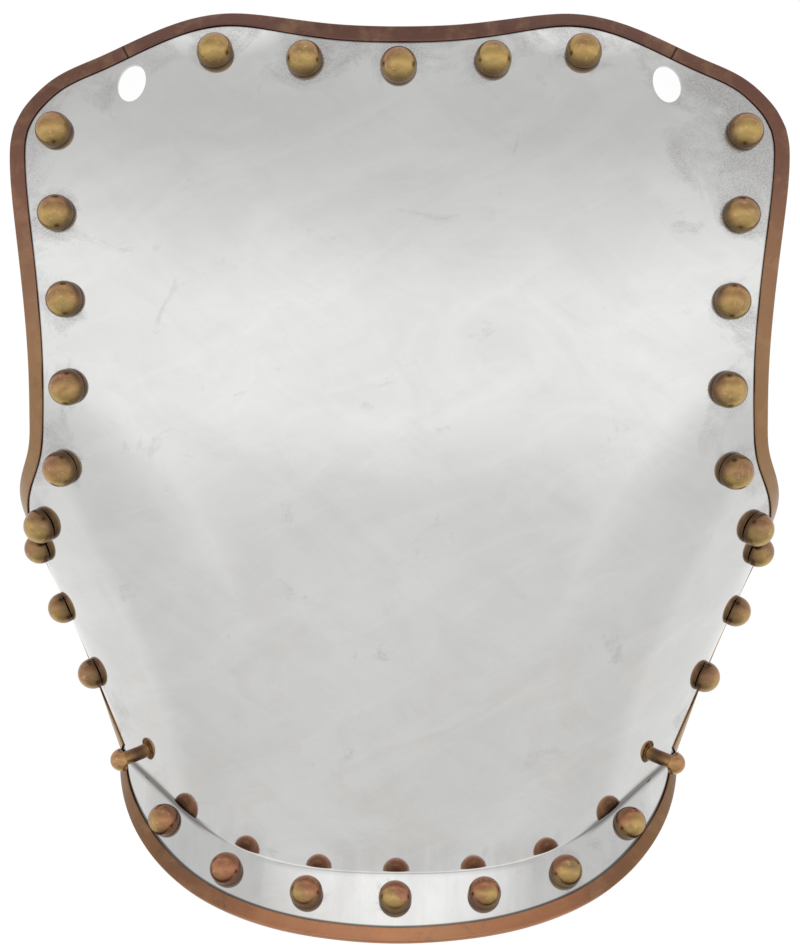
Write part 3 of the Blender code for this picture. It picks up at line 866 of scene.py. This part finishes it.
def steel_material():
    """Mirror polish with smudges, faint scratches and grey, pitted patches."""
    made, n, shader = new_material("polished_steel_look")
    where = n.add("ShaderNodeTexCoord").outputs["Object"]
    edge = n.stored("edge_distance")
    rivet = n.stored("rivet_distance")
    cloud = n.noise(where, 11, 3, 0.5)
    streak = n.noise(stretched(n, where, 38, (1, 2.3, 1)), 17, 7, 0.66, 1.6)
    cross = n.noise(stretched(n, where, -24, (1, 3.2, 1)), 13, 6, 0.64, 1.2)
    grain = n.noise(where, 1500, 3, 0.75)
    patch = n.noise(where, 34, 6, 0.66, 0.7)

    # Grey patches: near the edge, round the rivets and on the right shoulder
    by_edge = n.span(edge, 0.006, 0.040, 0.20, 0.0)
    by_rivet = n.span(rivet, 0.0085, 0.015, 0.12, 0.0)
    spot = n.add("ShaderNodeVectorMath", {"operation": "DISTANCE"}, i0=where, i1=patina_spot())
    by_spot = n.span(spot.outputs["Value"], 0.004, 0.065, 0.26, 0.0)
    height = n.add("ShaderNodeSeparateXYZ", Vector=where).outputs["Y"]
    up = n.span(height, -0.17, -0.13, 0.25, 1.0)
    by_both = n.maths("MULTIPLY", n.maths("ADD", by_edge, by_rivet), up)
    more = n.maths("ADD", by_both, by_spot)
    dulled = n.span(n.maths("ADD", patch, more), 0.63, 0.82)
    grained = n.maths("MULTIPLY", dulled, n.span(grain, 0.42, 0.62))
    smudge = n.span(streak, 0.44, 0.72)
    wiped = n.span(cross, 0.46, 0.74)

    # Cloudy polish, warm smears over the waist, streaks on the skirt, then the marks on it
    clean = n.mix(n.span(cloud, 0.3, 0.7), BRIGHT_STEEL, GREY_STEEL)
    smear = n.span(n.noise(where, 23, 6, 0.68, 1.3), 0.50, 0.62)
    warm = n.maths("MULTIPLY", smear, n.span(height, -0.02, -0.12, 0.10, 0.60))
    clean = n.mix(warm, clean, WARM_SMEAR)
    fluted = n.span(n.noise(stretched(n, where, 0, (1, 0.12, 0.12)), 60, 4, 0.6), 0.50, 0.64)
    fluted = n.maths("MULTIPLY", fluted, n.span(height, -0.166, -0.174, 0.0, 0.45))
    clean = n.mix(fluted, clean, SKIRT_STREAK)
    hazed = n.mix(n.maths("MULTIPLY", smudge, 0.42), clean, SMUDGE)
    hazed = n.mix(n.maths("MULTIPLY", wiped, 0.42), hazed, WIPE)
    hazed = n.mix(n.maths("MULTIPLY", dulled, 0.42), hazed, DULL_PATCH)
    colour = n.mix(n.maths("MULTIPLY", grained, 0.65), hazed, PITTED_PATCH)
    # Painted shade: a dark band along the waist crease, widest towards the side edges
    crease_shade = n.stored("crease_painted_shade")
    colour = n.mix(n.maths("MULTIPLY", crease_shade, 0.88), colour, CREASE_PAINTED_SHADE)
    # Grime and painted shade: a thin dark line on the plate along the strips' inner edge, where they
    # cast shade
    seam_grime_and_shade = n.span(edge, BINDING_WIDTH + 0.0002, BINDING_WIDTH + 0.0009, 0.85, 0.0)
    colour = n.mix(seam_grime_and_shade, colour, SEAM_GRIME_AND_SHADE)
    n.put(shader.inputs["Base Color"], colour)
    n.put(shader.inputs["Metallic"], 1.0)
    rough = n.maths("MULTIPLY_ADD", smudge, 0.05, 0.035)
    rough = n.maths("MULTIPLY_ADD", wiped, 0.03, rough)
    rough = n.maths("MULTIPLY_ADD", grained, 0.20, rough)
    n.put(shader.inputs["Roughness"], rough)

    # Hand-raised waviness, scratches and the pits of the grey patches
    wave = n.noise(where, 13, 2, 0.5)
    first = n.bump(wave, 0.00035, 0.6)
    scratch = n.span(n.noise(stretched(n, where, 52, (8, 1100, 8)), 1, 2, 0.5), 0.66, 0.72)
    crossing = n.span(n.noise(stretched(n, where, -17, (9, 1300, 9)), 1, 2, 0.5), 0.68, 0.74)
    lines = n.maths("MULTIPLY", n.maths("ADD", scratch, crossing), -1.0)
    second = n.bump(lines, 0.000004, 0.7, first)
    pits = n.maths("MULTIPLY", n.maths("MULTIPLY", grained, grain), -1.0)
    third = n.bump(pits, 0.00004, 0.6, second)
    n.put(shader.inputs["Normal"], third)
    return made


def ramp_of(n, value, stops):
    """Colour or grey level by a value that runs from the first stop to the last."""
    low, high = stops[0][0], stops[-1][0]
    ramp = n.add("ShaderNodeValToRGB", Fac=n.span(value, low, high))
    while len(ramp.color_ramp.elements) < len(stops):
        ramp.color_ramp.elements.new(0.5)
    for element, (position, level) in zip(ramp.color_ramp.elements, stops):
        colour = level if isinstance(level, tuple) else (level, level, level)
        element.position = (position - low) / (high - low)
        element.color = (*colour, 1)
    return ramp.outputs["Color"]


def binding_material(name, axis, stops):
    """Tarnished brass strip whose tone changes with the place along the plate."""
    made, n, shader = new_material(name)
    where = n.add("ShaderNodeNewGeometry").outputs["Position"]
    along = n.add("ShaderNodeSeparateXYZ", Vector=where).outputs[axis]
    if axis == "X":
        along = n.maths("ABSOLUTE", along)
    mottle = n.noise(where, 90, 6, 0.65, 0.3)
    broad = n.noise(where, 17, 4, 0.6)
    grain = n.noise(where, 1300, 3, 0.7)
    place = n.maths("MULTIPLY_ADD", n.maths("SUBTRACT", broad, 0.5), 0.12, along)
    tone = ramp_of(n, place, stops)
    worn = n.span(mottle, 0.48, 0.70)
    lit = n.mix(n.maths("MULTIPLY", worn, 0.27), tone, STRIP_WEAR)
    stain = n.span(n.noise(where, 46, 5, 0.7, 0.6), 0.56, 0.74)
    colour = n.mix(n.maths("MULTIPLY", stain, 0.60), lit, STRIP_STAIN)
    pitted = n.span(grain, 0.60, 0.72)
    colour = n.mix(n.maths("MULTIPLY", pitted, 0.5), colour, STRIP_PIT)
    end = n.stored("end_distance")
    colour = n.mix(n.span(end, 0.0002, 0.0007, 0.9, 0.0), colour, STRIP_SEAM)
    n.put(shader.inputs["Base Color"], colour)
    n.put(shader.inputs["Metallic"], 1.0)
    n.put(shader.inputs["Roughness"], n.maths("MULTIPLY_ADD", mottle, 0.24, 0.22))
    n.put(shader.inputs["Normal"], n.bump(grain, 0.00005, 0.5, n.bump(mottle, 0.0002, 0.35)))
    return made


def dome_material(name, tones):
    """Tarnished brass domes: golden, with browner and redder parts, scratches and pits."""
    made, n, shader = new_material(name)
    gold, brown, red = ((*tone, 1) for tone in tones)
    where = n.add("ShaderNodeNewGeometry").outputs["Position"]
    along = n.add("ShaderNodeSeparateXYZ", Vector=where).outputs["Y"]
    own = n.add("ShaderNodeTexCoord").outputs["Object"]
    axes = n.add("ShaderNodeSeparateXYZ", Vector=own)
    rise = axes.outputs["Z"]
    upward = n.span(axes.outputs["Y"], -0.006, 0.006, -0.09, 0.13)
    blotch = n.noise(where, 75, 5, 0.62, 0.4)
    fine = n.noise(where, 420, 5, 0.7)
    grain = n.noise(where, 1500, 3, 0.7)
    colour = n.mix(n.span(n.maths("ADD", blotch, upward), 0.45, 0.65), gold, brown)
    low_down = n.span(along, -0.13, -0.18, 0.30, 0.90)
    redder = n.maths("MULTIPLY_ADD", low_down, 0.12, upward)
    reddened = n.span(n.maths("ADD", n.noise(where, 48, 4, 0.6, 0.5), redder), 0.50, 0.64)
    colour = n.mix(n.maths("MULTIPLY", reddened, low_down), colour, red)
    # Darker towards the foot of each dome: grime with painted shade where it meets the plate
    foot = n.maths("MULTIPLY_ADD", n.maths("SUBTRACT", blotch, 0.5), 0.005, rise)
    colour = n.mix(n.span(foot, 0.0078, 0.0012, 0.0, 0.85), colour, DOME_FOOT_GRIME_AND_SHADE)
    worn = n.maths("MULTIPLY", n.span(fine, 0.56, 0.74), n.span(rise, 0.002, 0.008))
    colour = n.mix(n.maths("MULTIPLY", worn, 0.60), colour, DOME_SCRATCH)
    pitted = n.span(grain, 0.61, 0.71)
    colour = n.mix(n.maths("MULTIPLY", pitted, 0.65), colour, DOME_PIT)
    n.put(shader.inputs["Base Color"], colour)
    n.put(shader.inputs["Metallic"], 1.0)
    n.put(shader.inputs["Roughness"], n.maths("MULTIPLY_ADD", fine, 0.20, 0.16))
    first = n.bump(blotch, 0.0004, 0.3)
    second = n.bump(fine, 0.00006, 0.5, first)
    n.put(shader.inputs["Normal"], n.bump(grain, 0.00003, 0.5, second))
    return made


def make_world():
    """A white studio: a broad soft light over the back and greyer walls, bright past the neck."""
    world = bpy.data.worlds.new("studio")
    bpy.context.scene.world = world
    world.use_nodes = True
    n = Nodes(world.node_tree)
    background = world.node_tree.nodes["Background"]
    way = n.add("ShaderNodeTexCoord").outputs["Generated"]
    about = {"rotation_type": "X_AXIS"}
    stood = n.add("ShaderNodeVectorRotate", about, Vector=way, Angle=-RESTING_TURN)
    parts = n.add("ShaderNodeSeparateXYZ", Vector=stood)
    height = n.maths("DEGREES", n.maths("ARCSINE", parts.outputs["Y"]))
    side = n.maths("ARCTAN2", parts.outputs["X"], parts.outputs["Z"])
    side = n.maths("DEGREES", n.maths("ABSOLUTE", side))
    upper = ramp_of(n, height, UPPER_STUDIO)
    lower = ramp_of(n, height, LOWER_STUDIO)
    sideways = ramp_of(n, side, SIDE_STUDIO)
    sink = n.maths("MULTIPLY", n.maths("POWER", side, 2.0), BRINK_SINK)
    raised = n.maths("ADD", height, n.maths("MINIMUM", sink, DEEPEST_SINK))
    over = n.span(raised, *BRINK, kind="SMOOTHSTEP")
    value = n.mix(1.0, n.mix(over, lower, upper), sideways, "MULTIPLY")
    n.put(background.inputs["Color"], value)
    n.put(background.inputs["Strength"], STUDIO_STRENGTH)
    bpy.context.scene.view_settings.view_transform = "Standard"


def make_floor():
    mesh = bpy.data.meshes.new("floor")
    corners = [(x * FLOOR_REACH, y * FLOOR_REACH, 0) for x, y in ((-1, -1), (1, -1), (1, 1), (-1, 1))]
    mesh.from_pydata(corners, [], [(0, 1, 2, 3)])
    floor = bpy.data.objects.new("floor", mesh)
    bpy.context.scene.collection.objects.link(floor)
    floor.location.z = FLOOR_HEIGHT
    made, n, shader = new_material("pale_floor")
    n.put(shader.inputs["Base Color"], FLOOR_GREY)
    n.put(shader.inputs["Roughness"], 0.9)
    n.put(shader.inputs["Specular IOR Level"], 0.0)
    n.put(shader.inputs["Emission Color"], (1, 1, 1, 1))
    n.put(shader.inputs["Emission Strength"], FLOOR_GLOW)
    mesh.materials.append(made)


def make_camera():
    yaw, pitch, roll = CAMERA_TURNS
    turn = Matrix.Rotation(roll, 3, "Z") @ Matrix.Rotation(pitch, 3, "X")
    turn = (turn @ Matrix.Rotation(yaw, 3, "Y")).transposed()
    across, up = CAMERA_SHIFT
    seat = turn @ Vector((-across, -up, CAMERA_DISTANCE)) + Vector(CAMERA_TARGET)
    data = bpy.data.cameras.new("camera")
    data.sensor_fit = "HORIZONTAL"
    data.sensor_width = SENSOR_WIDTH
    data.lens = CAMERA_LENS / IMAGE_WIDTH * SENSOR_WIDTH
    camera = bpy.data.objects.new("camera", data)
    bpy.context.scene.collection.objects.link(camera)
    camera.matrix_world = resting @ Matrix.Translation(seat) @ turn.to_4x4()
    bpy.context.scene.camera = camera


steel = steel_material()
binding_brass = binding_material("binding_brass_look", "Y", STRIP_TONES)
skirt_brass = binding_material("skirt_brass_look", "X", SKIRT_STRIP_TONES)
rivet_brass = dome_material("rivet_brass_look", RIVET_TONES)
post_brass = dome_material("post_brass_look", POST_TONES)

make_plate(steel)
seam_share = SEAM_SHARE - STRIP_JOINT / HALF_WIDTH
neck_line = Edge(body_point, *neck_run(seam_share, -seam_share, NECK_STATIONS))
make_binding("neck_strip", neck_line, BINDING_WIDTH, binding_brass, "neck_binding")
for side, word in ((1, "right"), (-1, "left")):
    line = side_and_shoulder(side, SIDE_STATIONS)
    make_binding(f"{word}_side_strip", line, BINDING_WIDTH, binding_brass, f"{word}_side_binding")
skirt_line = skirt_run(SKIRT_STATIONS)
make_binding("skirt_strip", skirt_line, SKIRT_BINDING_WIDTH, skirt_brass, "skirt_binding")

domes = {}
for node, surface, place, radius in rivet_places():
    if radius not in domes:
        domes[radius] = lathe(f"dome_{len(domes) + 1}", rivet_profile(radius))
    placed = standing(surface, place)
    finish_piece(f"dome_{node}", domes[radius], rivet_brass, [node], placed)

post = lathe("post", post_profile())
height = float(waist_height(POST_SHARE))
for side, word in ((1, "right"), (-1, "left")):
    place = (side * POST_SHARE * float(wrap(height)), height + POST_RISE)
    placed = standing(body_point, place)
    finish_piece(f"{word}_post", post, post_brass, [f"{word}_belt_post"], placed)

make_floor()
make_world()
make_camera()
